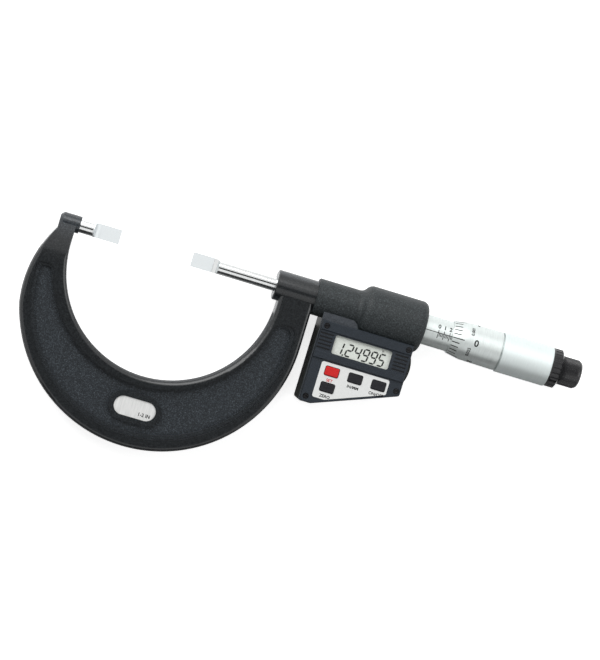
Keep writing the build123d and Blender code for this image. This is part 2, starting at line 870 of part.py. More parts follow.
# ---- Ratchet ----------------------------------------------------------------------------------------------------------------------------
def face_teeth(face_x, direction):
    """Wedges that leave ratchet teeth on a disc's face when cut away."""
    pitch = 360 / ratchet_teeth
    width = 2 * wheel_r * sin(radians(pitch / 2))
    notch = Polyline((0, 0), (0, width * tooth_fill), (-direction * tooth_height, 0), close=True)
    notch = Pos(face_x, 0, 0) * extrude(make_face(notch), wheel_r + over)
    return [Rot(i * pitch, 0, 0) * notch for i in range(ratchet_teeth)]


def ratchet_wheel():
    """Toothed disc clamped to the end of the screw."""
    body = tube(web_right, wheel_right, wheel_r, ratchet_thread_r + snug)
    return body - face_teeth(wheel_right, 1)


def ratchet_pawl():
    """Toothed washer that slides in the knob; its lug turns with it."""
    body = tube(pawl_left, pawl_right, wheel_r, ratchet_screw_r + float_gap)
    body -= face_teeth(pawl_left, -1)
    half = lug_width / 2
    return body + block(pawl_right - lug_length, pawl_right, -half, half, wheel_r - clear, wheel_r + lug_reach)


def ratchet_spring():
    """Coil spring that presses the pawl against the wheel."""
    half = spring_wire / 2
    length = knob_wall - pawl_right - spring_wire
    path = Helix(pitch=length / spring_turns, height=length, radius=spring_r - half)
    profile = Plane(origin=path @ 0, z_dir=path % 0) * RegularPolygon(half, 6)
    return Pos(pawl_right + half, 0, 0) * Rot(0, 90, 0) * sweep(profile, path, is_frenet=True)


def ratchet_knob():
    """Hollow knob that the fingers turn."""
    bore = ratchet_screw_r + running
    head_room = ratchet_head_r + free
    shoulder = ring_right + float_gap
    body = turned((knob_left, knob_cavity_r), (knob_wall, knob_cavity_r), (knob_wall, bore),
                  (head_seat, bore), (head_seat, head_room), (knob_right, head_room),
                  (knob_right, knob_r), (shoulder, knob_r), (shoulder, knob_neck_r),
                  (knob_left, knob_neck_r))
    body = fillet(outer_rim(body, knob_r), knob_round)
    half = lug_width / 2 + running
    return body - block(knob_left - over, knob_wall, -half, half, 0, wheel_r + lug_reach + lug_gap)


def ratchet_screw():
    """Shouldered screw that holds the ratchet on and clamps the wheel."""
    left = web_right - ratchet_thread_length + ratchet_thread_free
    head = head_seat + running
    right = head + ratchet_head_thick
    body = turned((left, 0), (right, 0), (right, ratchet_head_r), (head, ratchet_head_r),
                  (head, ratchet_screw_r), (wheel_right, ratchet_screw_r),
                  (wheel_right, ratchet_thread_r), (left, ratchet_thread_r))
    half = ratchet_slot_width / 2
    reach = ratchet_head_r + over
    return body - block(right - ratchet_slot_depth, right + over, -reach, reach, -half, half)


# ---- Readout case ----------------------------------------------------------------------------------------------------------------------------
def readout_outline(inset, top):
    """Front view of the readout: square above, cut away on a slant below right."""
    left = case_left + inset
    right = case_right - inset
    bottom = case_bottom + inset
    right_low = case_right_low + inset / cos(slope) - inset * tan(slope)
    flat_end = right - (right_low - bottom) / tan(slope)
    outline = make_face(Polyline((left, top), (right, top), (right, right_low), (flat_end, bottom),
                                 (left, bottom), close=True))
    low = outline.vertices().filter_by(lambda v: v.Y < top - snug)
    return fillet(low, case_corner)


def flex_strip(grow):
    """Flat cable from the stator to the circuit board, grown by a clearance."""
    return block(stator_x - flex_width - grow, stator_x + grow, flex_low, flex_high,
                 board_back - flex_thick - grow, board_back + grow)


def screw_tip(place):
    """Depth of a bezel screw: short over the housing, longer in the lower posts."""
    return bezel_under - (short_screw if place in top_screws else long_screw)


def screw_top(place):
    """Surface that a bezel screw is sunk into."""
    return bar_front if place in top_screws else panel_front


def rail():
    """Bar under the bezel's top edge that takes the two upper screws."""
    wide = block(case_left + board_inset - snug, case_right - board_inset + snug, rail_bottom,
                 inner_top + snug, board_back, case_front)
    high = block(case_left + post_inset, case_right - post_inset, rail_bottom,
                 inner_top + snug, case_front, bezel_under)
    return wide + high - housing_envelope(snug)


def readout_case():
    """Moulded rear shell that saddles the encoder housing."""
    case = prism(readout_outline(0, case_top), case_back, case_front)
    case = fillet(case.faces().sort_by(Axis.Z)[0].edges(), case_edge)
    case -= housing_envelope(snug)
    deep = prism(readout_outline(case_wall, inner_top), case_back + case_back_wall, case_front + over)
    wide = prism(readout_outline(board_inset, inner_top), board_back, case_front + over)
    case -= deep + wide - housing_envelope(case_back_wall)
    case += rail()
    within_bezel = prism(readout_outline(post_inset, case_top), case_back, bezel_under)
    for x, y in low_screws:
        case += disc(x, y, case_back + case_back_wall - snug, bezel_under, post_r) & within_bezel
    for place in top_screws + low_screws:
        case -= disc(*place, screw_tip(place), bar_front, bezel_shank_r + snug)

    # battery well with room for the cover's lugs
    case += disc(cell_x, cell_y, case_back + case_edge, well_top, well_r)
    case -= disc(cell_x, cell_y, case_back - over, bayonet_top, cover_r + free)
    case -= disc(cell_x, cell_y, cover_inside, bayonet_top, well_r - well_wall)
    case -= disc(cell_x, cell_y, bayonet_top - snug, battery_front + contact_thick, cell_r + cell_play)
    case -= lug_pair(cover_lug + free, 2 * free, case_back - over, bayonet_top, 90)
    case -= contact_tails(float_gap)

    # screws into the housing, flat cable and data port
    for x, wall, bite in fixings:
        seat = -wall - fixing_seat
        case -= bolt(x, seat - over, over - wall, fixing_z, fixing_r + float_gap)
        case -= bolt(x, seat - 2 * fixing_head, seat, fixing_z, fixing_head_r + free)
    case -= flex_strip(free)
    return case - block(port_wall - over, case_right + over, port_centre_y - port_half_width,
                        port_centre_y + port_half_width, -port_half_height, port_half_height)


def grip_cuts():
    """Grooves of the two finger grips beside the window."""
    cuts = []
    half = grip_width / 2
    left = window_left - grip_left_gap - grip_length
    right = window_right + grip_right_gap
    first = (upper_bar_low + lower_bar_top - (grip_count - 1) * grip_pitch) / 2
    for i in range(grip_count):
        y = first + i * grip_pitch
        for x in (left, right):
            cuts.append(block(x, x + grip_length, y - half, y + half,
                              strip_front - grip_depth, strip_front + over))
    return cuts


def readout_bezel():
    """Front moulding: two raised bars, the window between them and the keypad below."""
    outline = readout_outline(bezel_inset, bezel_top)
    bezel = prism(outline, case_front, panel_front)
    left = case_left - over
    right = case_right + over
    bars = prism(outline, panel_front, bar_front)
    bars -= block(left, right, case_bottom - over, lower_bar_low, panel_front, bar_front + over)
    bars -= block(left, right, lower_bar_top, upper_bar_low, strip_front, bar_front + over)
    bezel += bars
    bar_tops = bezel.faces().filter_by(Axis.Z).filter_by(lambda f: abs(f.center().Z - bar_front) < snug)
    bezel = chamfer(bar_tops.edges(), bar_break)
    bezel -= housing_envelope(float_gap)
    bezel -= prism(readout_outline(bezel_inset + bezel_wall, bezel_top - bezel_wall),
                   case_front - over, bezel_under)

    window = Pos(*window_middle) * RectangleRounded(window_width, window_height, window_corner)
    rebate = Pos(*window_middle) * Rectangle(window_width + 2 * lens_margin, window_height + 2 * lens_margin)
    bezel -= prism(window, bezel_under - over, bar_front + over)
    bezel -= prism(rebate, bezel_under - over, lens_front)
    for x, y in key_places():
        bezel -= prism(Pos(x, y) * key_hole(), bezel_under - over, panel_front + over)
    bezel -= grip_cuts()
    for place in top_screws + low_screws:
        top = screw_top(place)
        bezel -= disc(*place, case_front - over, top + over, bezel_shank_r + float_gap)
        bezel -= disc(*place, screw_seat(place), top + over, bezel_head_r + bezel_head_play)
    return bezel


def screw_seat(place):
    """Height of the face under a bezel screw's head."""
    return screw_top(place) - bezel_head_thick - bezel_head_sunk


def bezel_screws():
    """Four small screws through the bezel."""
    screws = []
    half = bezel_slot_width / 2
    for place in top_screws + low_screws:
        x, y = place
        seat = screw_seat(place)
        head = seat + bezel_head_thick
        screw = disc(x, y, seat, head, bezel_head_r)
        screw += disc(x, y, screw_tip(place) + float_gap, seat, bezel_shank_r)
        screw -= block(x - 2 * bezel_head_r, x + 2 * bezel_head_r, y - half, y + half,
                       head - bezel_slot_depth, head + over)
        screws.append(screw)
    return group(screws)


def case_fixings():
    """Two screws from inside the case into the housing."""
    screws = []
    half = fixing_slot_width / 2
    for x, wall, bite in fixings:
        seat = -wall - fixing_seat
        head = seat - fixing_head
        screw = bolt(x, head, seat, fixing_z, fixing_head_r)
        screw += bolt(x, seat, bite - wall - float_gap, fixing_z, fixing_r)
        screw -= block(x - 2 * fixing_head_r, x + 2 * fixing_head_r, head - over,
                       head + fixing_slot_depth, fixing_z - half, fixing_z + half)
        screws.append(screw)
    return group(screws)


# ---- Display and circuit board ------------------------------------------------------------------------------------------
def display_window():
    """Clear lens in the rebate behind the window."""
    margin = lens_margin - lens_play
    return block(window_left - margin, window_right + margin, window_low - margin, window_top + margin,
                 lcd_front, lens_front)


def lcd_panel():
    """Display glass behind the lens."""
    return block(window_left - lcd_side, window_right + lcd_side, window_low - lcd_foot,
                 window_top + lcd_side, lcd_back, lcd_front)


def lcd_connector():
    """Rubber contact strip between the display and the circuit board."""
    low = window_low - strip_from_window
    return block(window_left + strip_inset, window_right - strip_inset, low, low + strip_width,
                 board_front, lcd_back)


def circuit_board():
    """Board that carries the display, the switches and the data socket."""
    board = prism(readout_outline(board_inset + ledge_play, rail_bottom - board_from_rail),
                  board_back, board_front)
    for x, y in low_screws:
        board -= disc(x, y, board_back - over, board_front + over, post_r + free)
    return board - contact_tails(float_gap)


def board_chips():
    """Two packages under the board: the counter chip and its memory."""
    x, y = chip_large_corner
    large = block(x, x + chip_large, y, y + chip_large, board_back - chip_large_thick, board_back)
    x, y = chip_small_corner
    small = block(x, x + chip_small[0], y, y + chip_small[1], board_back - chip_small_thick, board_back)
    return group([large, small])


def key_places():
    """Centres of the four keys: three in a row and one below the first."""
    row = [(key_first_x + i * key_pitch, key_row_y) for i in range(keys_in_row)]
    return row + [(key_first_x, key_row_y - key_row_pitch)]


def key_hole():
    """Hole in the panel for a key."""
    return RectangleRounded(key_width, key_height, key_corner)


def key_cap(x, y):
    """Key with a flange that keeps it behind the panel."""
    cap = RectangleRounded(key_width - 2 * key_gap, key_height - 2 * key_gap, key_corner - key_gap)
    flange = Rectangle(key_width + key_flange, key_height + key_flange)
    body = prism(Pos(x, y) * cap, key_back, key_front)
    body = chamfer(body.faces().sort_by(Axis.Z)[-1].edges(), key_edge)
    return body + prism(Pos(x, y) * flange, key_back, key_shelf)


def tact_switches():
    """One small switch on the board under each key."""
    top = key_back - key_travel - switch_rest_gap
    body_top = board_front + switch_body_height
    half = switch_body / 2
    switches = []
    for x, y in key_places():
        switch = block(x - half, x + half, y - half, y + half, board_front, body_top)
        switches.append(switch + disc(x, y, body_top, top, switch_stem_r))
    return group(switches)


def keypad_label():
    """Thin printed label round the keys, its lower edge along the slant of the case."""
    inset = bezel_inset + label_margin
    right_low = case_right_low + inset / cos(slope) - (case_right - label_right) * tan(slope)
    flat_end = label_right - (right_low - label_low) / tan(slope)
    outline = make_face(Polyline((label_left, label_top), (label_right, label_top), (label_right, right_low),
                                 (flat_end, label_low), (label_left, label_low), close=True))
    outline = fillet(outline.vertices(), label_corner)
    for x, y in key_places():
        outline -= Pos(x, y) * key_hole()
    return prism(outline, panel_front, panel_front + label_thick)


# ---- Battery, its cover and the contacts --------------------------------------------------------------------------------------------------
def lug_pair(reach, widen, z0, z1, angle):
    """Two bayonet lugs, or the notches for them, across the battery cover."""
    ring = disc(cell_x, cell_y, z0, z1, cover_r + reach)
    bar = Pos(cell_x, cell_y, (z0 + z1) / 2) * Rot(0, 0, angle)
    bar *= Box(4 * cover_r, cover_lug_width + widen, z1 - z0)
    return ring & bar


def battery_cover():
    """Coin-slotted cap with two lugs that turn behind the edge of its hole."""
    back = case_back + float_gap
    top = cover_inside + cover_skirt
    cover = disc(cell_x, cell_y, back, top, cover_r)
    cover = chamfer(cover.faces().sort_by(Axis.Z)[0].edges(), cover_edge)
    cover += lug_pair(cover_lug, 0, cover_inside + float_gap, top, 0)
    cover -= disc(cell_x, cell_y, cover_inside, top + over, cover_r - cover_rim)
    half = cover_slot_length / 2
    return cover - block(cell_x - half, cell_x + half, cell_y - cover_slot / 2, cell_y + cover_slot / 2,
                         back - over, back + cover_slot_depth)


def battery():
    """Button cell between the cover and the contact."""
    cell = disc(cell_x, cell_y, battery_back, battery_front, cell_r)
    return chamfer(cell.edges().filter_by(GeomType.CIRCLE), cell_edge)


def contact_tails(grow):
    """Upright tails of the two contacts, which pass the well's floor to the board."""
    half_width = tail_width / 2 + grow
    half_thick = contact_thick / 2 + grow
    tails = []
    for side in (-1, 1):
        x = cell_x + side * tail_from_middle
        tails.append(block(x - half_thick, x + half_thick, cell_y - half_width, cell_y + half_width,
                           battery_front, board_back + grow))
    return tails


def battery_contacts():
    """Two flat springs against the cell, with their tails."""
    contacts = []
    half = contact_width / 2
    for side, tail in zip((-1, 1), contact_tails(0)):
        inner = cell_x + side * contact_inner
        outer = cell_x + side * contact_outer
        leaf = block(min(inner, outer), max(inner, outer), cell_y - half, cell_y + half,
                     battery_front, battery_front + contact_thick)
        contacts.append(leaf + tail)
    return group(contacts)


# ---- Data port -------------------------------------------------------------------------------------------------------------------------------------
def data_socket():
    """Socket on the board behind the opening in the right side."""
    body = block(port_wall - socket_length, port_wall, port_centre_y - port_half_width - socket_wall,
                 port_centre_y + port_half_width + socket_wall, -port_half_height - socket_low_wall, board_back)
    return body - block(port_wall - socket_recess, port_wall + over, port_centre_y - port_half_width,
                        port_centre_y + port_half_width, -port_half_height, port_half_height)


def data_port_cap():
    """Crowned push-in cap that closes the data port."""
    high = (case_right, port_centre_y + port_cap_length / 2)
    low = (case_right, port_centre_y - port_cap_length / 2)
    edge = ThreePointArc(high, (case_right + port_cap_rise, port_centre_y), low)
    edge += Line(low, high)
    cap = extrude(make_face(edge), port_cap_height / 2, both=True)
    half_width = port_half_width - port_play
    half_height = port_half_height - port_play
    return cap + block(case_right - plug_depth, case_right, port_centre_y - half_width,
                       port_centre_y + half_width, -half_height, half_height)


# ---- Write every node -----------------------------------------------------------------------------------------------------------------------------
os.makedirs("parts", exist_ok=True)
nodes = {
    "frame": frame_body,
    "name_plate": name_plate,
    "anvil": anvil,
    "guide_key_screw": guide_key_screw,
    "spindle": spindle,
    "spindle_coupling": spindle_coupling,
    "lead_screw": lead_screw,
    "encoder_housing": encoder_housing,
    "housing_end_cap": housing_end_cap,
    "encoder_stator": encoder_stator,
    "encoder_rotor": encoder_rotor,
    "rotor_hub": rotor_hub,
    "drive_pin": drive_pin,
    "rotor_clip": rotor_clip,
    "encoder_bush": encoder_bush,
    "spacer_ring": spacer_ring,
    "nut_sleeve": nut_sleeve,
    "adjusting_nut": adjusting_nut,
    "graduated_sleeve": graduated_sleeve,
    "thimble": thimble,
    "thimble_band": thimble_band,
    "thimble_ring": thimble_ring,
    "ratchet_wheel": ratchet_wheel,
    "ratchet_pawl": ratchet_pawl,
    "ratchet_spring": ratchet_spring,
    "ratchet_knob": ratchet_knob,
    "ratchet_screw": ratchet_screw,
    "readout_case": readout_case,
    "readout_bezel": readout_bezel,
    "bezel_screws": bezel_screws,
    "case_fixings": case_fixings,
    "display_window": display_window,
    "lcd_panel": lcd_panel,
    "lcd_connector": lcd_connector,
    "circuit_board": circuit_board,
    "board_chips": board_chips,
    "tact_switches": tact_switches,
    "keypad_label": keypad_label,
    "battery_cover": battery_cover,
    "battery": battery,
    "battery_contacts": battery_contacts,
    "data_socket": data_socket,
    "data_port_cap": data_port_cap,
}
for name, build in nodes.items():
    save(name, build())
save("flex_cable", flex_strip(0))
for name, (x, y) in zip(("key_red", "key_middle", "key_right", "key_lower"), key_places()):
    save(name, key_cap(x, y))
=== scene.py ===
# %% [markdown]
# # Outside micrometer with blade faces and a digital readout
# The solids of this tool come ready made from CAD, each where it belongs.  What is left for
# Blender is everything too fine for a solid: the crinkled enamel, the ground and turned
# steel, the engraved scales, the knurl, the figures of the display and the light.
# We load the frame first and keep its box, because nothing that we add may grow past it.

# %% Load the frame
import bpy
import bmesh
import json
from math import asin, cos, pi, radians, sin
from mathutils import Matrix, Vector


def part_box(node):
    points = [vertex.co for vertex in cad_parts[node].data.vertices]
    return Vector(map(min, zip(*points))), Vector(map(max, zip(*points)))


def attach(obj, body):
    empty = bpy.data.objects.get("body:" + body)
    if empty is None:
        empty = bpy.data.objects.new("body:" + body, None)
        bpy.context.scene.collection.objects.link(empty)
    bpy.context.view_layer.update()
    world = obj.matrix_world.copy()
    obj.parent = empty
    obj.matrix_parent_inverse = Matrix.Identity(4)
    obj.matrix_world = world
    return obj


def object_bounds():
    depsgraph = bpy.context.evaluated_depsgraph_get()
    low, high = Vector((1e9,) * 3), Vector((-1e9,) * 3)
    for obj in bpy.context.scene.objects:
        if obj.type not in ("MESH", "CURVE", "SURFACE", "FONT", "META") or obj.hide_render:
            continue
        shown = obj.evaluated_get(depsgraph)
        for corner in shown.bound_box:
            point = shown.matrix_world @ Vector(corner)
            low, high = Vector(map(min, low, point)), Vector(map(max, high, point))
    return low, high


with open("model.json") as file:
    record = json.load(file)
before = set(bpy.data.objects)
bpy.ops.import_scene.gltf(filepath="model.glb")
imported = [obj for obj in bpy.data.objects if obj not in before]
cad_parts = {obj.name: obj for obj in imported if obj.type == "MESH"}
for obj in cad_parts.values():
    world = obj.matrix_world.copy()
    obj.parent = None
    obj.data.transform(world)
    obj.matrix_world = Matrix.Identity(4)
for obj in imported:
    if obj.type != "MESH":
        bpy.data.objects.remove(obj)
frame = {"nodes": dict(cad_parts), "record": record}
cad_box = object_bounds()
MM = 0.001


def span(node):
    """The lowest and highest corner of a CAD node, in millimetres."""
    low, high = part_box(node)
    return low / MM, high / MM


# %% [markdown]
# ## A workbench for node trees
# Materials and Geometry Nodes are both graphs of nodes.  Typing each link by hand hides what
# the graph does, so one helper puts a node down and plugs its sockets in a single line.
# A plain value is written on the socket, and an output of another node is linked to it.

# %% Put a node into a tree
def put(tree, kind, feeds=None, **settings):
    node = tree.nodes.new(kind)
    for key, value in settings.items():
        setattr(node, key, value)
    for key, value in (feeds or {}).items():
        socket = node.inputs[key]
        if isinstance(value, bpy.types.NodeSocket):
            tree.links.new(value, socket)
        else:
            socket.default_value = value
    return node


def shade(red, green, blue):
    return (red, green, blue, 1.0)


# %% [markdown]
# ## How a finish is made
# Every finish starts from one Principled shader.  The pattern is noise in Object coordinates,
# which are metres here, so a scale of 1000 draws grains of about a millimetre.  The same
# noise tints the colour, swings the roughness and lifts a bump, because on real paint or
# steel a grain that stands up also catches the light in another way.

# %% Start a finish
SPREAD = (0.6, 1.4)


def start_finish(name, **constants):
    finish = bpy.data.materials.new(name)
    finish.use_nodes = True
    tree = finish.node_tree
    tree.nodes.clear()
    shader = put(tree, "ShaderNodeBsdfPrincipled",
                 {key.replace("_", " "): value for key, value in constants.items()})
    put(tree, "ShaderNodeOutputMaterial", {"Surface": shader.outputs["BSDF"]})
    place = put(tree, "ShaderNodeTexCoord").outputs["Object"]
    return finish, tree, shader, place


def grain(tree, place, scale, detail=2.0, stretch=(1.0, 1.0, 1.0)):
    stretched = put(tree, "ShaderNodeMapping", {"Vector": place, "Scale": stretch})
    return put(tree, "ShaderNodeTexNoise", {"Vector": stretched.outputs["Vector"],
                                           "Scale": scale, "Detail": detail,
                                           "Roughness": 0.6}).outputs["Fac"]


def tint(tree, factor, stops):
    ramp = put(tree, "ShaderNodeValToRGB", {"Fac": factor})
    points = ramp.color_ramp.elements
    points[0].position, points[0].color = stops[0]
    points[1].position, points[1].color = stops[-1]
    for position, colour in stops[1:-1]:
        points.new(position).color = colour
    return ramp.outputs["Color"]


def swing(tree, value, low, high, to_low, to_high):
    return put(tree, "ShaderNodeMapRange", {"Value": value, "From Min": low, "From Max": high,
                                            "To Min": to_low, "To Max": to_high}).outputs[0]


def about(tree, factor, colour, spread=SPREAD):
    """The colour a little darker where the grain is low and a little lighter where it is high."""
    dark, light = ([share * level for level in colour] for share in spread)
    return tint(tree, factor, [(0.3, shade(*dark)), (0.7, shade(*light))])


def blend(tree, factor, first, second):
    return put(tree, "ShaderNodeMix", {0: factor, 6: first, 7: second},
               data_type="RGBA").outputs[2]


def lift(tree, shader, height, distance, strength=1.0):
    bump = put(tree, "ShaderNodeBump", {"Height": height, "Distance": distance,
                                        "Strength": strength})
    tree.links.new(bump.outputs["Normal"], shader.inputs["Normal"])


def grained(name, dark, light, scale, rough, bump, stretch=(1.0, 1.0, 1.0), detail=2.0,
            **constants):
    """A finish with one grain in its colour, its roughness and its bump."""
    finish, tree, shader, place = start_finish(name, **constants)
    fine = grain(tree, place, scale, detail, stretch)
    tree.links.new(tint(tree, fine, [(0.3, shade(*dark)), (0.7, shade(*light))]),
                   shader.inputs["Base Color"])
    tree.links.new(swing(tree, fine, 0.3, 0.7, rough[0], rough[1]), shader.inputs["Roughness"])
    lift(tree, shader, fine, bump)
    return finish


# %% [markdown]
# ## Enamel on the bow
# The bow is a forging under thick black enamel that has run smooth on the rims and dried
# crinkled in the sunk panels.  A flat black would look like plastic, so two grains are
# mixed: a coarse one that waves the skin, and fine pale specks that show in the panels only.
# The height above the middle plane tells panel from rim, and that is read from Object Z.

# %% Enamel
def enamel():
    finish, tree, shader, place = start_finish("black enamel", Specular_IOR_Level=0.3,
                                               Coat_Weight=0.5, Coat_Roughness=0.10)
    height = put(tree, "ShaderNodeSeparateXYZ", {"Vector": place}).outputs["Z"]
    lifted = put(tree, "ShaderNodeMath", {0: height}, operation="ABSOLUTE").outputs[0]
    rim = swing(tree, lifted, 3.6 * MM, 4.8 * MM, 0.0, 1.0)
    speck = grain(tree, place, 2100.0, 3.0)
    wave = grain(tree, place, 420.0, 2.0)
    panel = tint(tree, speck, [(0.38, shade(0.006, 0.008, 0.010)),
                               (0.55, shade(0.022, 0.028, 0.034)),
                               (0.72, shade(0.085, 0.100, 0.115))])
    edge = tint(tree, speck, [(0.38, shade(0.005, 0.006, 0.007)),
                              (0.72, shade(0.026, 0.030, 0.033))])
    tree.links.new(blend(tree, rim, panel, edge), shader.inputs["Base Color"])
    tree.links.new(swing(tree, rim, 0.0, 1.0, 0.48, 0.28), shader.inputs["Roughness"])
    both = put(tree, "ShaderNodeMath", {0: speck, 1: wave}, operation="ADD").outputs[0]
    lift(tree, shader, both, 0.07 * MM, 0.7)
    return finish


def crinkle():
    finish, tree, shader, place = start_finish("crinkle paint", Specular_IOR_Level=0.3)
    fine = grain(tree, place, 1700.0, 4.0)
    cells = put(tree, "ShaderNodeTexVoronoi", {"Vector": place, "Scale": 1500.0},
                feature="SMOOTH_F1").outputs["Distance"]
    rough = put(tree, "ShaderNodeMath", {0: fine, 1: cells}, operation="ADD").outputs[0]
    tree.links.new(tint(tree, fine, [(0.34, shade(0.008, 0.010, 0.011)),
                                     (0.52, shade(0.022, 0.027, 0.029)),
                                     (0.70, shade(0.062, 0.073, 0.077))]),
                   shader.inputs["Base Color"])
    tree.links.new(swing(tree, fine, 0.3, 0.7, 0.42, 0.62), shader.inputs["Roughness"])
    lift(tree, shader, rough, 0.10 * MM, 0.9)
    return finish


# %% [markdown]
# ## Moulded plastics
# The case is painted nearly black down its sides and a lighter blue grey on its front ledge, which
# is painted light for the face the lamp lights.  The bezel is painted darker below its front panel,
# which is painted shade in its grooves, its window recess and down its sides.  Both follow Object
# Z, so one finish takes two colours and blends them over a stated rise.

# %% Plastic whose colour follows the height
def plastic_by_height(name, low, high, from_z, to_z, rough):
    finish, tree, shader, place = start_finish(name, Specular_IOR_Level=0.3)
    height = put(tree, "ShaderNodeSeparateXYZ", {"Vector": place}).outputs["Z"]
    # lit_share is 0 below the rise and 1 above it: painted light on the upward faces and painted
    # shade below them
    lit_share = swing(tree, height, from_z * MM, to_z * MM, 0.0, 1.0)
    fine = grain(tree, place, 2600.0)
    skin = blend(tree, lit_share, about(tree, fine, low), about(tree, fine, high))
    tree.links.new(skin, shader.inputs["Base Color"])
    tree.links.new(swing(tree, fine, 0.3, 0.7, rough[0], rough[1]), shader.inputs["Roughness"])
    lift(tree, shader, fine, 0.02 * MM)
    return finish


# %% [markdown]
# ## Keys
# The red cap is painted black round the edge of its top face, as painted shade for its chamfer and
# the gap round the cap.  The finish measures how far a point lies from the middle of the cap, along
# X and along Y, and turns black near the edge.

# %% Key caps
PAINTED_SHADE_RIM = 0.45


def key_cap_finish(name, colour, node):
    finish, tree, shader, place = start_finish(name, Specular_IOR_Level=0.3)
    low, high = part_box(node)
    middle, half = (low + high) / 2, (high - low) / 2
    centred = put(tree, "ShaderNodeVectorMath", {0: place, 1: middle}, operation="SUBTRACT")
    away = put(tree, "ShaderNodeVectorMath", {0: centred.outputs[0]}, operation="ABSOLUTE")
    parts = put(tree, "ShaderNodeSeparateXYZ", {"Vector": away.outputs[0]}).outputs
    over_x, over_y = (put(tree, "ShaderNodeMath", {0: parts[axis], 1: reach - PAINTED_SHADE_RIM * MM},
                          operation="GREATER_THAN").outputs[0]
                      for axis, reach in (("X", half.x), ("Y", half.y)))
    # edge is 1 on the painted shade round the cap's top face
    edge = put(tree, "ShaderNodeMath", {0: over_x, 1: over_y}, operation="MAXIMUM").outputs[0]
    fine = grain(tree, place, 2600.0)
    face = about(tree, fine, colour, (0.8, 1.15))
    black = tint(tree, fine, [(0.3, shade(0.004, 0.004, 0.006)),
                              (0.7, shade(0.012, 0.012, 0.015))])
    tree.links.new(blend(tree, edge, face, black), shader.inputs["Base Color"])
    tree.links.new(swing(tree, fine, 0.3, 0.7, 0.36, 0.5), shader.inputs["Roughness"])
    lift(tree, shader, fine, 0.012 * MM)
    return finish


# %% [markdown]
# ## Ground steel
# The stems are ground and polished, and the last millimetres of each blade are left frosted
# by the carbide grinding.  One finish can do both: along X the roughness and the colour
# change from the stem to the frosted blade, with a grey shadow where the blade begins.

# %% Ground steel with a frosted blade
def ground_steel(name, root, tip):
    finish, tree, shader, place = start_finish(name, Metallic=1.0)
    along = put(tree, "ShaderNodeSeparateXYZ", {"Vector": place}).outputs["X"]
    shoulder = root - 0.06 * (tip - root)
    frosted = swing(tree, along, shoulder * MM, (root - 0.02 * (tip - root)) * MM, 0.0, 1.0)
    lay = grain(tree, place, 3000.0, 2.0, (1.0, 0.12, 0.12))
    frost = grain(tree, place, 5200.0, 2.0)
    polish = tint(tree, lay, [(0.3, shade(0.70, 0.72, 0.72)), (0.7, shade(0.82, 0.83, 0.83))])
    pale = tint(tree, frost, [(0.3, shade(0.60, 0.63, 0.64)), (0.7, shade(0.74, 0.77, 0.78))])
    tree.links.new(blend(tree, frosted, polish, pale), shader.inputs["Base Color"])
    tree.links.new(swing(tree, frosted, 0.0, 1.0, 0.14, 0.55), shader.inputs["Roughness"])
    lift(tree, shader, lay, 0.0005 * MM, 0.4)
    return finish


# %% [markdown]
# ## The other finishes
# Sleeve and thimble are satin chromed after turning, so their grain runs round them: the
# noise is stretched along Y and Z and stays fine along X.  The moulded plastics carry a
# spark-eroded texture, a fine even grain.  Pieces inside get honest finishes too, because
# someone may open the tool.

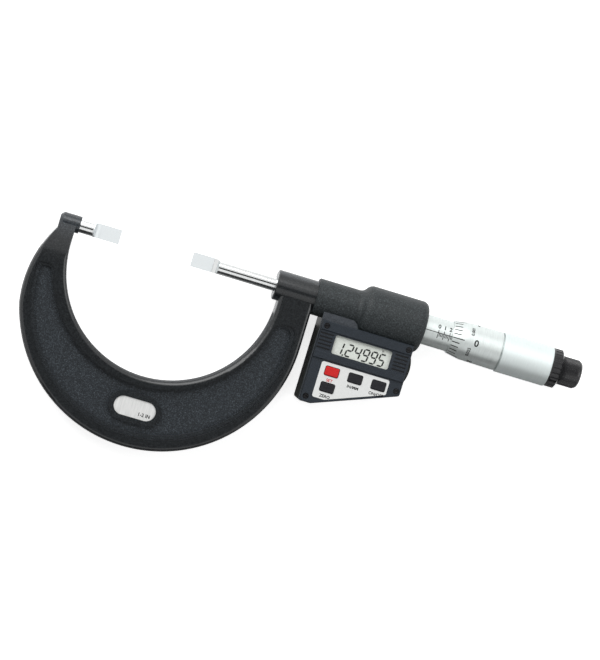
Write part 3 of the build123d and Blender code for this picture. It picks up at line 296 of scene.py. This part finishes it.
# %% Make every finish
FINISH = {
    "enamel": enamel(),
    "housing_paint": crinkle(),
    "plate": grained("pale plate", (0.78, 0.79, 0.78), (0.90, 0.90, 0.89), 1800.0,
                     (0.30, 0.42), 0.004 * MM, (1.0, 0.1, 1.0), Metallic=0.15),
    "screw_steel": grained("turned screw steel", (0.45, 0.45, 0.46), (0.68, 0.68, 0.67), 2600.0,
                           (0.25, 0.40), 0.004 * MM, (1.0, 0.1, 0.1), Metallic=1.0),
    "satin_steel": grained("satin chrome", (0.54, 0.58, 0.57), (0.63, 0.67, 0.66), 3800.0,
                           (0.40, 0.50), 0.002 * MM, (1.0, 0.06, 0.06), Metallic=1.0),
    "black_metal": grained("black oxide", (0.004, 0.004, 0.005), (0.014, 0.014, 0.016), 2200.0,
                           (0.16, 0.30), 0.006 * MM, Specular_IOR_Level=0.5),
    "brass": grained("turned brass", (0.62, 0.43, 0.18), (0.84, 0.64, 0.32), 2600.0,
                     (0.22, 0.36), 0.004 * MM, (1.0, 0.1, 0.1), Metallic=1.0),
    # case: painted light, its front ledge lighter than its nearly black sides
    "case_plastic": plastic_by_height("case plastic with painted lit front", (0.016, 0.019, 0.017),
                                      (0.055, 0.062, 0.072), 6.15, 6.28, (0.38, 0.52)),
    # bezel: painted shade, darker in its grooves, its window recess and down its sides
    "bezel_plastic": plastic_by_height("bezel plastic with painted groove shade", (0.003, 0.004, 0.005),
                                       (0.020, 0.026, 0.034), 8.38, 8.48, (0.34, 0.48)),
    "lcd": grained("display glass", (0.82, 0.86, 0.80), (0.88, 0.91, 0.86), 900.0,
                   (0.30, 0.36), 0.002 * MM),
    "label": grained("white label film", (0.80, 0.81, 0.80), (0.89, 0.90, 0.89), 2600.0,
                     (0.34, 0.46), 0.004 * MM),
    "red_key": key_cap_finish("red key", (0.66, 0.020, 0.020), "key_red"),
    "black_key": grained("black key", (0.005, 0.005, 0.007), (0.016, 0.016, 0.020), 2600.0,
                         (0.34, 0.50), 0.012 * MM, Specular_IOR_Level=0.3),
    "board": grained("circuit board", (0.025, 0.16, 0.07), (0.06, 0.27, 0.13), 1600.0,
                     (0.28, 0.40), 0.01 * MM),
    "chip": grained("moulded chip", (0.018, 0.018, 0.018), (0.05, 0.05, 0.05), 2600.0,
                    (0.45, 0.6), 0.01 * MM),
    "contact_rubber": grained("contact rubber", (0.18, 0.18, 0.20), (0.34, 0.34, 0.36), 1400.0,
                              (0.6, 0.75), 0.02 * MM),
    "cell": grained("nickel plate", (0.62, 0.62, 0.60), (0.80, 0.80, 0.78), 2200.0,
                    (0.18, 0.30), 0.003 * MM, Metallic=1.0),
    "lens": grained("clear lens", (0.86, 0.92, 0.88), (0.94, 0.98, 0.95), 500.0,
                    (0.04, 0.08), 0.0005 * MM, Alpha=0.05),
}
band_finish = grained("bright band", (0.61, 0.66, 0.655), (0.67, 0.72, 0.715), 3800.0,
                      (0.50, 0.60), 0.001 * MM, (1.0, 0.06, 0.06), Metallic=1.0)
INK = grained("black engraving", (0.002, 0.002, 0.002), (0.008, 0.008, 0.008), 3000.0,
              (0.8, 0.95), 0.004 * MM, Specular_IOR_Level=0.1)
RED_INK = grained("red print", (0.48, 0.02, 0.02), (0.62, 0.05, 0.04), 3000.0,
                  (0.45, 0.6), 0.002 * MM)
print("finishes", len(FINISH) + 3)

# %% Paint the solids
ANVIL_BLADE, SPINDLE_BLADE = 11.55, 9.0
anvil_tip, spindle_tip = span("anvil")[1].x, span("spindle")[0].x
own = {"anvil": ground_steel("anvil steel", anvil_tip - ANVIL_BLADE, anvil_tip),
       "spindle": ground_steel("spindle steel", spindle_tip + SPINDLE_BLADE, spindle_tip),
       "thimble_band": band_finish}
for subpart in frame["record"]["subparts"]:
    solid = frame["nodes"][subpart["node"]]
    coat = own.get(subpart["node"]) or FINISH[subpart["material_slot"]]
    solid.data.materials.clear()
    solid.data.materials.append(coat)

# %% [markdown]
# ## Rolling flat drawings onto round pieces
# A scale is easiest to draw flat, as on paper: X along the tool, Y round it, Z the depth.
# Geometry Nodes then roll the sheet up.  A point at height s on the sheet goes to the angle
# s / radius, so lengths on the surface stay true.  The radius may grow along X, which lets
# the same tree work on the bevel of the thimble.

# %% A tree with named inputs
def new_tree(name, inputs):
    tree = bpy.data.node_groups.new(name, "GeometryNodeTree")
    for label, kind in inputs:
        tree.interface.new_socket(label, in_out="INPUT", socket_type=kind)
    tree.interface.new_socket("Geometry", in_out="OUTPUT", socket_type="NodeSocketGeometry")
    return tree, put(tree, "NodeGroupInput").outputs


def close_tree(tree, geometry, finish):
    real = put(tree, "GeometryNodeRealizeInstances", {"Geometry": geometry})
    coated = put(tree, "GeometryNodeSetMaterial",
                 {"Geometry": real.outputs[0], "Material": finish})
    put(tree, "NodeGroupOutput", {"Geometry": coated.outputs[0]})


def maths(tree, operation, first, second=0.0):
    return put(tree, "ShaderNodeMath", {0: first, 1: second}, operation=operation).outputs[0]


def grow(tree, name, values, carrier_mesh=None):
    """Run a tree with these values and keep what it makes as a plain mesh."""
    mesh = carrier_mesh or bpy.data.meshes.new(name)
    carrier = bpy.data.objects.new(name, mesh)
    modifier = carrier.modifiers.new("Grow", "NODES")
    modifier.node_group = tree
    for item in tree.interface.items_tree:
        if item.in_out == "INPUT" and item.name in values:
            modifier[item.identifier] = values[item.name]
    bpy.context.scene.collection.objects.link(carrier)
    graph = bpy.context.evaluated_depsgraph_get()
    made = bpy.data.meshes.new_from_object(carrier.evaluated_get(graph))
    carrier.modifiers.remove(modifier)
    carrier.data = made
    print(name, len(made.polygons), "faces")
    return carrier


def wear(piece, body):
    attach(piece, body)


# %% The tree that rolls a flat drawing up
FLOAT, GEO, FINISH_SOCKET = "NodeSocketFloat", "NodeSocketGeometry", "NodeSocketMaterial"


def rolling_tree():
    tree, given = new_tree("Roll up", [("Geometry", GEO), ("Radius", FLOAT), ("Start", FLOAT),
                                       ("Rise", FLOAT), ("Turn", FLOAT),
                                       ("Finish", FINISH_SOCKET)])
    flat = put(tree, "ShaderNodeSeparateXYZ",
               {"Vector": put(tree, "GeometryNodeInputPosition").outputs[0]}).outputs
    beyond = maths(tree, "SUBTRACT", flat["X"], given["Start"])
    local = maths(tree, "ADD", given["Radius"], maths(tree, "MULTIPLY", beyond, given["Rise"]))
    angle = maths(tree, "ADD", maths(tree, "DIVIDE", flat["Y"], given["Radius"]), given["Turn"])
    reach = maths(tree, "ADD", local, flat["Z"])
    rolled = put(tree, "ShaderNodeCombineXYZ", {
        "X": flat["X"], "Y": maths(tree, "MULTIPLY", reach, maths(tree, "SINE", angle)),
        "Z": maths(tree, "MULTIPLY", reach, maths(tree, "COSINE", angle))})
    moved = put(tree, "GeometryNodeSetPosition",
                {"Geometry": given["Geometry"], "Position": rolled.outputs[0]})
    close_tree(tree, moved.outputs[0], given["Finish"])
    return tree


ROLL = rolling_tree()


# %% [markdown]
# ## Drawing lines and figures flat
# An engraved line is drawn as a black bar that stands two hundredths of a millimetre proud.
# It is cut into short pieces so that it can bend.  Figures come from Blender's own font,
# turned into a mesh, cut fine, and given the same small depth.

# %% Flat bars and figures
PROUD, SUNK = 0.02, 0.03


def add_bar(sheet, x, y, wide, tall, steps):
    """A bar from y to y + tall, in steps, and `wide` across, centred on x."""
    rings = []
    for i in range(steps + 1):
        level = y + tall * i / steps
        rings.append([sheet.verts.new(Vector(p) * MM) for p in
                      ((x - wide / 2, level, -SUNK), (x + wide / 2, level, -SUNK),
                       (x + wide / 2, level, PROUD), (x - wide / 2, level, PROUD))])
    for low, high in zip(rings, rings[1:]):
        for a in range(4):
            b = (a + 1) % 4
            sheet.faces.new((low[a], low[b], high[b], high[a]))
    sheet.faces.new(rings[0][::-1])
    sheet.faces.new(rings[-1])


def figure_mesh(words, size, x, y, turn=0.0, slant=0.0, proud=PROUD, sunk=SUNK, cut=0.35):
    """Words as a thin solid, centred on x and y of the sheet and turned, in metres."""
    curve = bpy.data.curves.new(words, "FONT")
    curve.body, curve.size, curve.shear = words, size, slant
    curve.align_x, curve.align_y = "CENTER", "CENTER"
    curve.resolution_u = 3
    curve.offset = 0.025 * size
    curve.extrude = (proud + sunk) / 2
    holder = bpy.data.objects.new(words, curve)
    bpy.context.scene.collection.objects.link(holder)
    graph = bpy.context.evaluated_depsgraph_get()
    mesh = bpy.data.meshes.new_from_object(holder.evaluated_get(graph))
    bpy.data.objects.remove(holder)
    shape = bmesh.new()
    shape.from_mesh(mesh)
    bmesh.ops.remove_doubles(shape, verts=shape.verts, dist=1e-6)
    for _ in range(4):
        long_edges = [e for e in shape.edges if e.calc_length() > cut]
        if not long_edges:
            break
        bmesh.ops.subdivide_edges(shape, edges=long_edges, cuts=1)
        bmesh.ops.triangulate(shape, faces=shape.faces)
    shape.transform(Matrix.Translation((x, y, (proud - sunk) / 2)) @ Matrix.Rotation(turn, 4, "Z"))
    shape.transform(Matrix.Scale(MM, 4))
    bmesh.ops.recalc_face_normals(shape, faces=shape.faces)
    shape.to_mesh(mesh)
    shape.free()
    return mesh


def sheet_of(name, bars, figures):
    sheet = bmesh.new()
    for bar in bars:
        add_bar(sheet, *bar)
    bmesh.ops.recalc_face_normals(sheet, faces=sheet.faces)
    for mesh in figures:
        sheet.from_mesh(mesh)
        bpy.data.meshes.remove(mesh)
    result = bpy.data.meshes.new(name)
    sheet.to_mesh(result)
    sheet.free()
    return result


# %% [markdown]
# ## The scale on the sleeve
# One long line runs along the sleeve and short ones cross it: one for every turn of the
# thimble, 0.635 mm apart, and a longer one with a figure on every fourth.  The tool stands
# at 0.250, so the figures 0, 1 and 2 show and the rest waits under the thimble.

# %% Sleeve scale
PITCH, SHOWN = 0.635, 0.25 * 25.4
edge_x = span("thimble")[0].x
zero_x = edge_x - SHOWN
SLEEVE_R, LINE_OFF, LINE_WIDE, SCALE_LONG = 6.6, 0.4, 0.30, 25.4
line_turn = asin(LINE_OFF / SLEEVE_R)
divisions = int(SCALE_LONG / PITCH + 0.5)
bars = [(zero_x + PITCH * n, -2.5 if n % 4 == 0 else -1.5, LINE_WIDE,
         3.7 if n % 4 == 0 else 1.5, 6) for n in range(divisions + 1)]
line_from = span("housing_end_cap")[1].x
length = zero_x + SCALE_LONG + 1.5 - line_from
bars.append((line_from + length / 2, -LINE_WIDE / 2, length, LINE_WIDE, 1))
figures = [figure_mesh(str(n % 10), 2.6, zero_x + 2.54 * n, 2.7) for n in range(11)]
sleeve_scale = grow(ROLL, "sleeve_scale",
                    {"Radius": SLEEVE_R * MM, "Start": 0.0, "Rise": 0.0, "Turn": line_turn,
                     "Finish": INK}, sheet_of("sleeve scale", bars, figures))
wear(sleeve_scale, "frame_body")

# %% [markdown]
# ## The scale on the thimble
# The bevel carries 25 lines, one for every thousandth of an inch, a figure at every fifth and
# a large nought on the line that now meets the sleeve.  This pattern repeats exactly, so a
# tree draws it: a row of points, one bar on each, and a longer bar on every fifth point.

# %% Thimble lines
def division_tree():
    tree, given = new_tree("Divisions", [("Count", "NodeSocketInt"), ("Step", FLOAT),
                                         ("Start", FLOAT), ("Short", FLOAT), ("Long", FLOAT),
                                         ("Width", FLOAT), ("Depth", FLOAT),
                                         ("Finish", FINISH_SOCKET)])
    step = put(tree, "ShaderNodeCombineXYZ", {"Y": given["Step"]}).outputs[0]
    row = put(tree, "GeometryNodeMeshLine", {"Count": given["Count"], "Offset": step})
    index = put(tree, "GeometryNodeInputIndex").outputs[0]
    fifth = put(tree, "ShaderNodeMath", {0: index, 1: 5.0}, operation="MODULO").outputs[0]
    plain = put(tree, "ShaderNodeMath", {0: fifth, 1: 0.5}, operation="GREATER_THAN").outputs[0]
    cut = put(tree, "GeometryNodeSwitch", {"Switch": plain, "False": given["Long"],
                                           "True": given["Short"]}, input_type="FLOAT")
    unit = put(tree, "GeometryNodeMeshCube", {"Size": (1.0, 1.0, 1.0), "Vertices X": 2})
    half = put(tree, "GeometryNodeTransform", {"Geometry": unit.outputs["Mesh"],
                                              "Translation": (0.5, 0.0, 0.0)})
    size = put(tree, "ShaderNodeCombineXYZ", {"X": cut.outputs[0], "Y": given["Width"],
                                              "Z": given["Depth"]}).outputs[0]
    bars_made = put(tree, "GeometryNodeInstanceOnPoints",
                    {"Points": row.outputs["Mesh"], "Instance": half.outputs[0], "Scale": size})
    start = put(tree, "ShaderNodeCombineXYZ", {"X": given["Start"]}).outputs[0]
    moved = put(tree, "GeometryNodeTransform", {"Geometry": bars_made.outputs[0],
                                               "Translation": start})
    close_tree(tree, moved.outputs[0], given["Finish"])
    return tree


EDGE_R, BEVEL_RISE, MARKS = 7.1, 1.0 / 5.3, 25
turn_length = 2 * pi * EDGE_R
lines = grow(division_tree(), "thimble_lines",
             {"Count": MARKS, "Step": turn_length / MARKS * MM, "Start": (edge_x + 0.25) * MM,
              "Short": 3.3 * MM, "Long": 5.0 * MM, "Width": 0.38 * MM,
              "Depth": 2 * PROUD * MM, "Finish": INK})
thimble_lines = grow(ROLL, "thimble_divisions",
                     {"Radius": EDGE_R * MM, "Start": edge_x * MM, "Rise": BEVEL_RISE,
                      "Turn": line_turn, "Finish": INK}, lines.data)
bpy.data.objects.remove(lines)
wear(thimble_lines, "thimble_body")

# %% Thimble figures
THIMBLE_R, BODY_RISE, body_from = 8.25, 0.25 / 15.3, edge_x + 6.5
figures = [figure_mesh(str(5 * n), 4.0 if n == 0 else 2.4, edge_x + 10.6,
                       2 * pi * THIMBLE_R * n / 5) for n in range(5)]
figures.append(figure_mesh("0.001", 1.9, edge_x + 8.3, 0.62 * THIMBLE_R, pi / 2))
figures.append(figure_mesh("0.025", 1.9, edge_x + 8.3, -0.55 * THIMBLE_R, pi / 2))
thimble_figures = grow(ROLL, "thimble_figures",
                       {"Radius": THIMBLE_R * MM, "Start": body_from * MM, "Rise": BODY_RISE,
                        "Turn": line_turn, "Finish": INK}, sheet_of("thimble figures", [], figures))
wear(thimble_figures, "thimble_body")

# %% [markdown]
# ## The knurl on the ratchet knob
# Fine crossed grooves leave rows of small pyramids, each row shifted by half a tooth.  The
# pyramid has four faces, and a tree stands hundreds of them on the knob's round side.

# %% Knurl
def knurl_tree():
    tree, given = new_tree("Knurl", [("Across", "NodeSocketInt"), ("Rows", "NodeSocketInt"),
                                     ("Radius", FLOAT), ("Start", FLOAT), ("Pitch", FLOAT),
                                     ("Height", FLOAT), ("Finish", FINISH_SOCKET)])
    across = given["Across"]
    total = maths(tree, "MULTIPLY", across, given["Rows"])
    points = put(tree, "GeometryNodeMeshLine", {"Count": total})
    index = put(tree, "GeometryNodeInputIndex").outputs[0]
    row = maths(tree, "FLOOR", maths(tree, "DIVIDE", index, across))
    column = maths(tree, "SUBTRACT", index, maths(tree, "MULTIPLY", row, across))
    shifted = maths(tree, "ADD", column, maths(tree, "MULTIPLY", row, 0.5))
    angle = maths(tree, "DIVIDE", maths(tree, "MULTIPLY", shifted, 2 * pi), across)
    x = maths(tree, "ADD", given["Start"], maths(tree, "MULTIPLY", row, given["Pitch"]))
    spot = put(tree, "ShaderNodeCombineXYZ", {
        "X": x, "Y": maths(tree, "MULTIPLY", given["Radius"], maths(tree, "SINE", angle)),
        "Z": maths(tree, "MULTIPLY", given["Radius"], maths(tree, "COSINE", angle))})
    placed = put(tree, "GeometryNodeSetPosition", {"Geometry": points.outputs["Mesh"],
                                                   "Position": spot.outputs[0]})
    turn = put(tree, "ShaderNodeCombineXYZ", {"X": maths(tree, "MULTIPLY", angle, -1.0)})
    tooth = put(tree, "GeometryNodeMeshCone", {"Vertices": 4, "Radius Top": 0.0,
                                              "Radius Bottom": given["Pitch"],
                                              "Depth": given["Height"]})
    teeth = put(tree, "GeometryNodeInstanceOnPoints",
                {"Points": placed.outputs[0], "Instance": tooth.outputs["Mesh"],
                 "Rotation": turn.outputs[0]})
    close_tree(tree, teeth.outputs[0], given["Finish"])
    return tree


KNOB_R, KNOB_FROM, TOOTH, TOOTH_TALL = 6.05, 198.3, 0.5, 0.34
ACROSS, ROWS = 40, 15
knurl = grow(knurl_tree(), "ratchet_knurl",
             {"Across": ACROSS, "Rows": ROWS, "Radius": (KNOB_R - 0.04) * MM,
              "Start": KNOB_FROM * MM, "Pitch": TOOTH * MM, "Height": TOOTH_TALL * MM,
              "Finish": FINISH["black_metal"]})
wear(knurl, "ratchet_body")

# %% [markdown]
# ## The figures of the display
# A liquid crystal draws each digit with seven bars, cut to points and leaning a little to the
# right.  A table says which bars a digit lights.  They are laid on the glass as thin solids.

# %% Seven-bar digits
LIT = {"1": "bc", "2": "abged", "4": "fgbc", "9": "abcdfg", "5": "afgcd"}
DIGIT_WIDE, DIGIT_TALL, BAR_WIDE, LEAN = 2.3, 5.1, 0.68, 0.13
BARS = {"a": (0, 2, 1), "g": (0, 1, 1), "d": (0, 0, 1),
        "f": (0, 1, 0), "e": (0, 0, 0), "b": (1, 1, 0), "c": (1, 0, 0)}


def light_bar(sheet, x, y, z, key):
    column, row, flat = BARS[key]
    half = DIGIT_TALL / 2
    ends = (((0.0, row * half), (DIGIT_WIDE, row * half)) if flat else
            ((column * DIGIT_WIDE, row * half), (column * DIGIT_WIDE, (row + 1) * half)))
    start, end = Vector(ends[0]), Vector(ends[1])
    along = (end - start).normalized()
    side = Vector((-along.y, along.x)) * BAR_WIDE / 2
    start, end = start + along * 0.08, end - along * 0.08
    nose = along * BAR_WIDE / 2
    outline = [start, start + nose - side, end - nose - side, end, end - nose + side,
               start + nose + side]
    add_prism(sheet, [(x + p.x + LEAN * p.y, y + p.y) for p in outline], z)


def add_prism(sheet, outline, z, thick=0.03):
    low = [sheet.verts.new(Vector((a, b, z - 0.02)) * MM) for a, b in outline]
    high = [sheet.verts.new(Vector((a, b, z + thick)) * MM) for a, b in outline]
    sheet.faces.new(low[::-1])
    sheet.faces.new(high)
    for i in range(len(outline)):
        j = (i + 1) % len(outline)
        sheet.faces.new((low[i], low[j], high[j], high[i]))


def finished(name, sheet, coat, body):
    bmesh.ops.recalc_face_normals(sheet, faces=sheet.faces)
    mesh = bpy.data.meshes.new(name)
    sheet.to_mesh(mesh)
    sheet.free()
    mesh.materials.append(coat)
    piece = bpy.data.objects.new(name, mesh)
    bpy.context.scene.collection.objects.link(piece)
    wear(piece, body)
    print(name, len(mesh.polygons), "faces")
    return piece


lcd_front = span("lcd_panel")[1].z
digits = bmesh.new()
BASE_Y, DOT_FROM, DOT_TO, DOT_HALF = -20.55, 104.2, 104.85, 0.3
for digit, x in zip("124995", (101.2, 105.45, 109.1, 112.7, 116.25, 119.8)):
    for key in LIT[digit]:
        light_bar(digits, x, BASE_Y, lcd_front, key)
add_prism(digits, [(DOT_FROM, BASE_Y - DOT_HALF), (DOT_TO, BASE_Y - DOT_HALF),
                   (DOT_TO, BASE_Y + DOT_HALF), (DOT_FROM, BASE_Y + DOT_HALF)], lcd_front)
digits.from_mesh(figure_mesh("IN", 0.95, 121.0, -14.2, proud=lcd_front + 0.03,
                             sunk=-(lcd_front - 0.02), cut=2.0))
finished("display_digits", digits, INK, "frame_body")

# %% [markdown]
# ## Print on the label and the plate
# The keys do what such keys do, so plain words stand under them.  The oval plate on the bow
# stays bare but for the range of the tool in inches.

# %% Plain words
label_front = span("keypad_label")[1].z


def print_words(name, words, size, x, y, front, coat):
    shape = bmesh.new()
    mesh = figure_mesh(words, size, x, y, proud=front + 0.015, sunk=-(front - 0.01), cut=3.0)
    shape.from_mesh(mesh)
    bpy.data.meshes.remove(mesh)
    finished(name, shape, coat, "frame_body")


key_places = {}
for node in ("key_red", "key_middle", "key_right", "key_lower"):
    low, high = span(node)
    key_places[node] = ((low.x + high.x) / 2, low.y)
for node, words, coat in (("key_red", "SET", RED_INK), ("key_middle", "IN/MM", INK),
                          ("key_right", "ON/OFF", INK), ("key_lower", "ZERO", INK)):
    x, y = key_places[node]
    print_words("legend_" + node[4:], words, 1.8, x, y - 1.4, label_front, coat)
plate_low, plate_high = span("name_plate")
print_words("plate_range", "1-2 IN", 2.1, plate_high.x - 4.6, plate_low.y + 2.2, plate_high.z,
            INK)

# %% [markdown]
# ## Floor, light and camera
# The tool lies on a pale floor that the camera sees as white, but that keeps the shadow.
# One large lamp stands at the upper left, a weaker one fills from the right.  Polished steel
# is only as good as what it mirrors, so one grey and two dark cards, seen by reflections
# alone, stand below and in front.

# %% Floor
floor_z = cad_box[0].z - 0.02 * MM
card_z = cad_box[0].z - 0.01 * MM


def flat_board(name, corners, coat):
    mesh = bpy.data.meshes.new(name)
    mesh.from_pydata([Vector(c) for c in corners], [], [(0, 1, 2, 3)])
    mesh.materials.append(coat)
    board = bpy.data.objects.new(name, mesh)
    bpy.context.scene.collection.objects.link(board)
    return board


def seen_rays(tree):
    """1 for a ray from the camera, a mirror or a lens, and 0 for one that lights the tool."""
    path = put(tree, "ShaderNodeLightPath").outputs
    return maths(tree, "MAXIMUM", path["Is Camera Ray"],
                 maths(tree, "MAXIMUM", path["Is Glossy Ray"], path["Is Transmission Ray"]))


floor_coat, tree, shader, place = start_finish("pale floor", Roughness=0.9)
shader.inputs["Base Color"].default_value = shade(0.86, 0.86, 0.86)
seen = seen_rays(tree)
glow = put(tree, "ShaderNodeEmission", {"Strength": maths(tree, "MULTIPLY", seen, 0.72)})
both = put(tree, "ShaderNodeAddShader", {0: shader.outputs[0], 1: glow.outputs[0]})
tree.links.new(both.outputs[0], tree.nodes["Material Output"].inputs["Surface"])
flat_board("floor", [(-2.5, -2.5, floor_z), (2.7, -2.5, floor_z), (2.7, 2.5, floor_z),
                     (-2.5, 2.5, floor_z)], floor_coat)


def card_coat(name, level):
    coat, tree, shader, place = start_finish(name, Roughness=1.0)
    shader.inputs["Base Color"].default_value = shade(level, level, level)
    return coat


dark_card, grey_card = card_coat("dark card", 0.01), card_coat("grey card", 0.42)
for name, corners, coat in (
        ("card_low", [(-0.05, -0.30, card_z), (0.30, -0.30, card_z), (0.30, -0.012, card_z),
                      (-0.05, -0.012, card_z)], grey_card),
        ("card_below", [(-0.4, -0.32, 0.0), (0.5, -0.32, 0.0), (0.5, -0.62, 0.42),
                        (-0.4, -0.62, 0.42)], dark_card),
        ("card_front", [(-0.35, -0.5, 1.5), (0.45, -0.5, 1.5), (0.45, 0.12, 1.5),
                        (-0.35, 0.12, 1.5)], dark_card)):
    card = flat_board(name, corners, coat)
    card.visible_camera = card.visible_diffuse = card.visible_shadow = False
    card.visible_transmission = card.visible_volume_scatter = False

# %% Lamps and sky
centre = Vector((0.085, -0.03, 0.0))


def lamp(name, spot, size, watts):
    light = bpy.data.lights.new(name, "AREA")
    light.shape, light.size, light.energy = "SQUARE", size, watts
    holder = bpy.data.objects.new(name, light)
    holder.location = spot
    holder.rotation_euler = (centre - Vector(spot)).to_track_quat("-Z", "Y").to_euler()
    bpy.context.scene.collection.objects.link(holder)


lamp("key_lamp", (-0.45, 0.85, 0.80), 1.2, 16.0)
lamp("fill_lamp", (0.85, 0.15, 0.80), 0.6, 2.0)

world = bpy.data.worlds.new("studio")
bpy.context.scene.world = world
world.use_nodes = True
tree = world.node_tree
tree.nodes.clear()
seen = seen_rays(tree)
strength = put(tree, "ShaderNodeMapRange", {"Value": seen, "To Min": 0.32, "To Max": 1.0})
sky = put(tree, "ShaderNodeBackground", {"Color": shade(1.0, 1.0, 1.0),
                                         "Strength": strength.outputs[0]})
put(tree, "ShaderNodeOutputWorld", {"Surface": sky.outputs[0]})

# %% Camera
azimuth, elevation, roll = radians(7.0), radians(2.0), radians(16.928)
aim, distance = Vector((84.92, -15.77, 0.0)) * MM, 1.2
FOCAL_PX, FRAME_PX = 2803.46, 660
back = Vector((-sin(azimuth) * cos(elevation), sin(elevation), cos(azimuth) * cos(elevation)))
right0 = Vector((0.0, 1.0, 0.0)).cross(back).normalized()
up0 = back.cross(right0)
right = right0 * cos(roll) + up0 * sin(roll)
up = up0 * cos(roll) - right0 * sin(roll)
eye = bpy.data.cameras.new("camera")
eye.sensor_width, eye.lens = 36.0, FOCAL_PX / FRAME_PX * 36.0
eye.clip_start, eye.clip_end = 0.05, 20.0
camera = bpy.data.objects.new("camera", eye)
camera.matrix_world = Matrix((right, up, back)).transposed().to_4x4()
camera.matrix_world.translation = aim + back * distance
bpy.context.scene.collection.objects.link(camera)
bpy.context.scene.camera = camera
bpy.context.scene.view_settings.view_transform = "Standard"
print("lens", round(eye.lens, 2), "mm at", [round(v, 3) for v in camera.location])
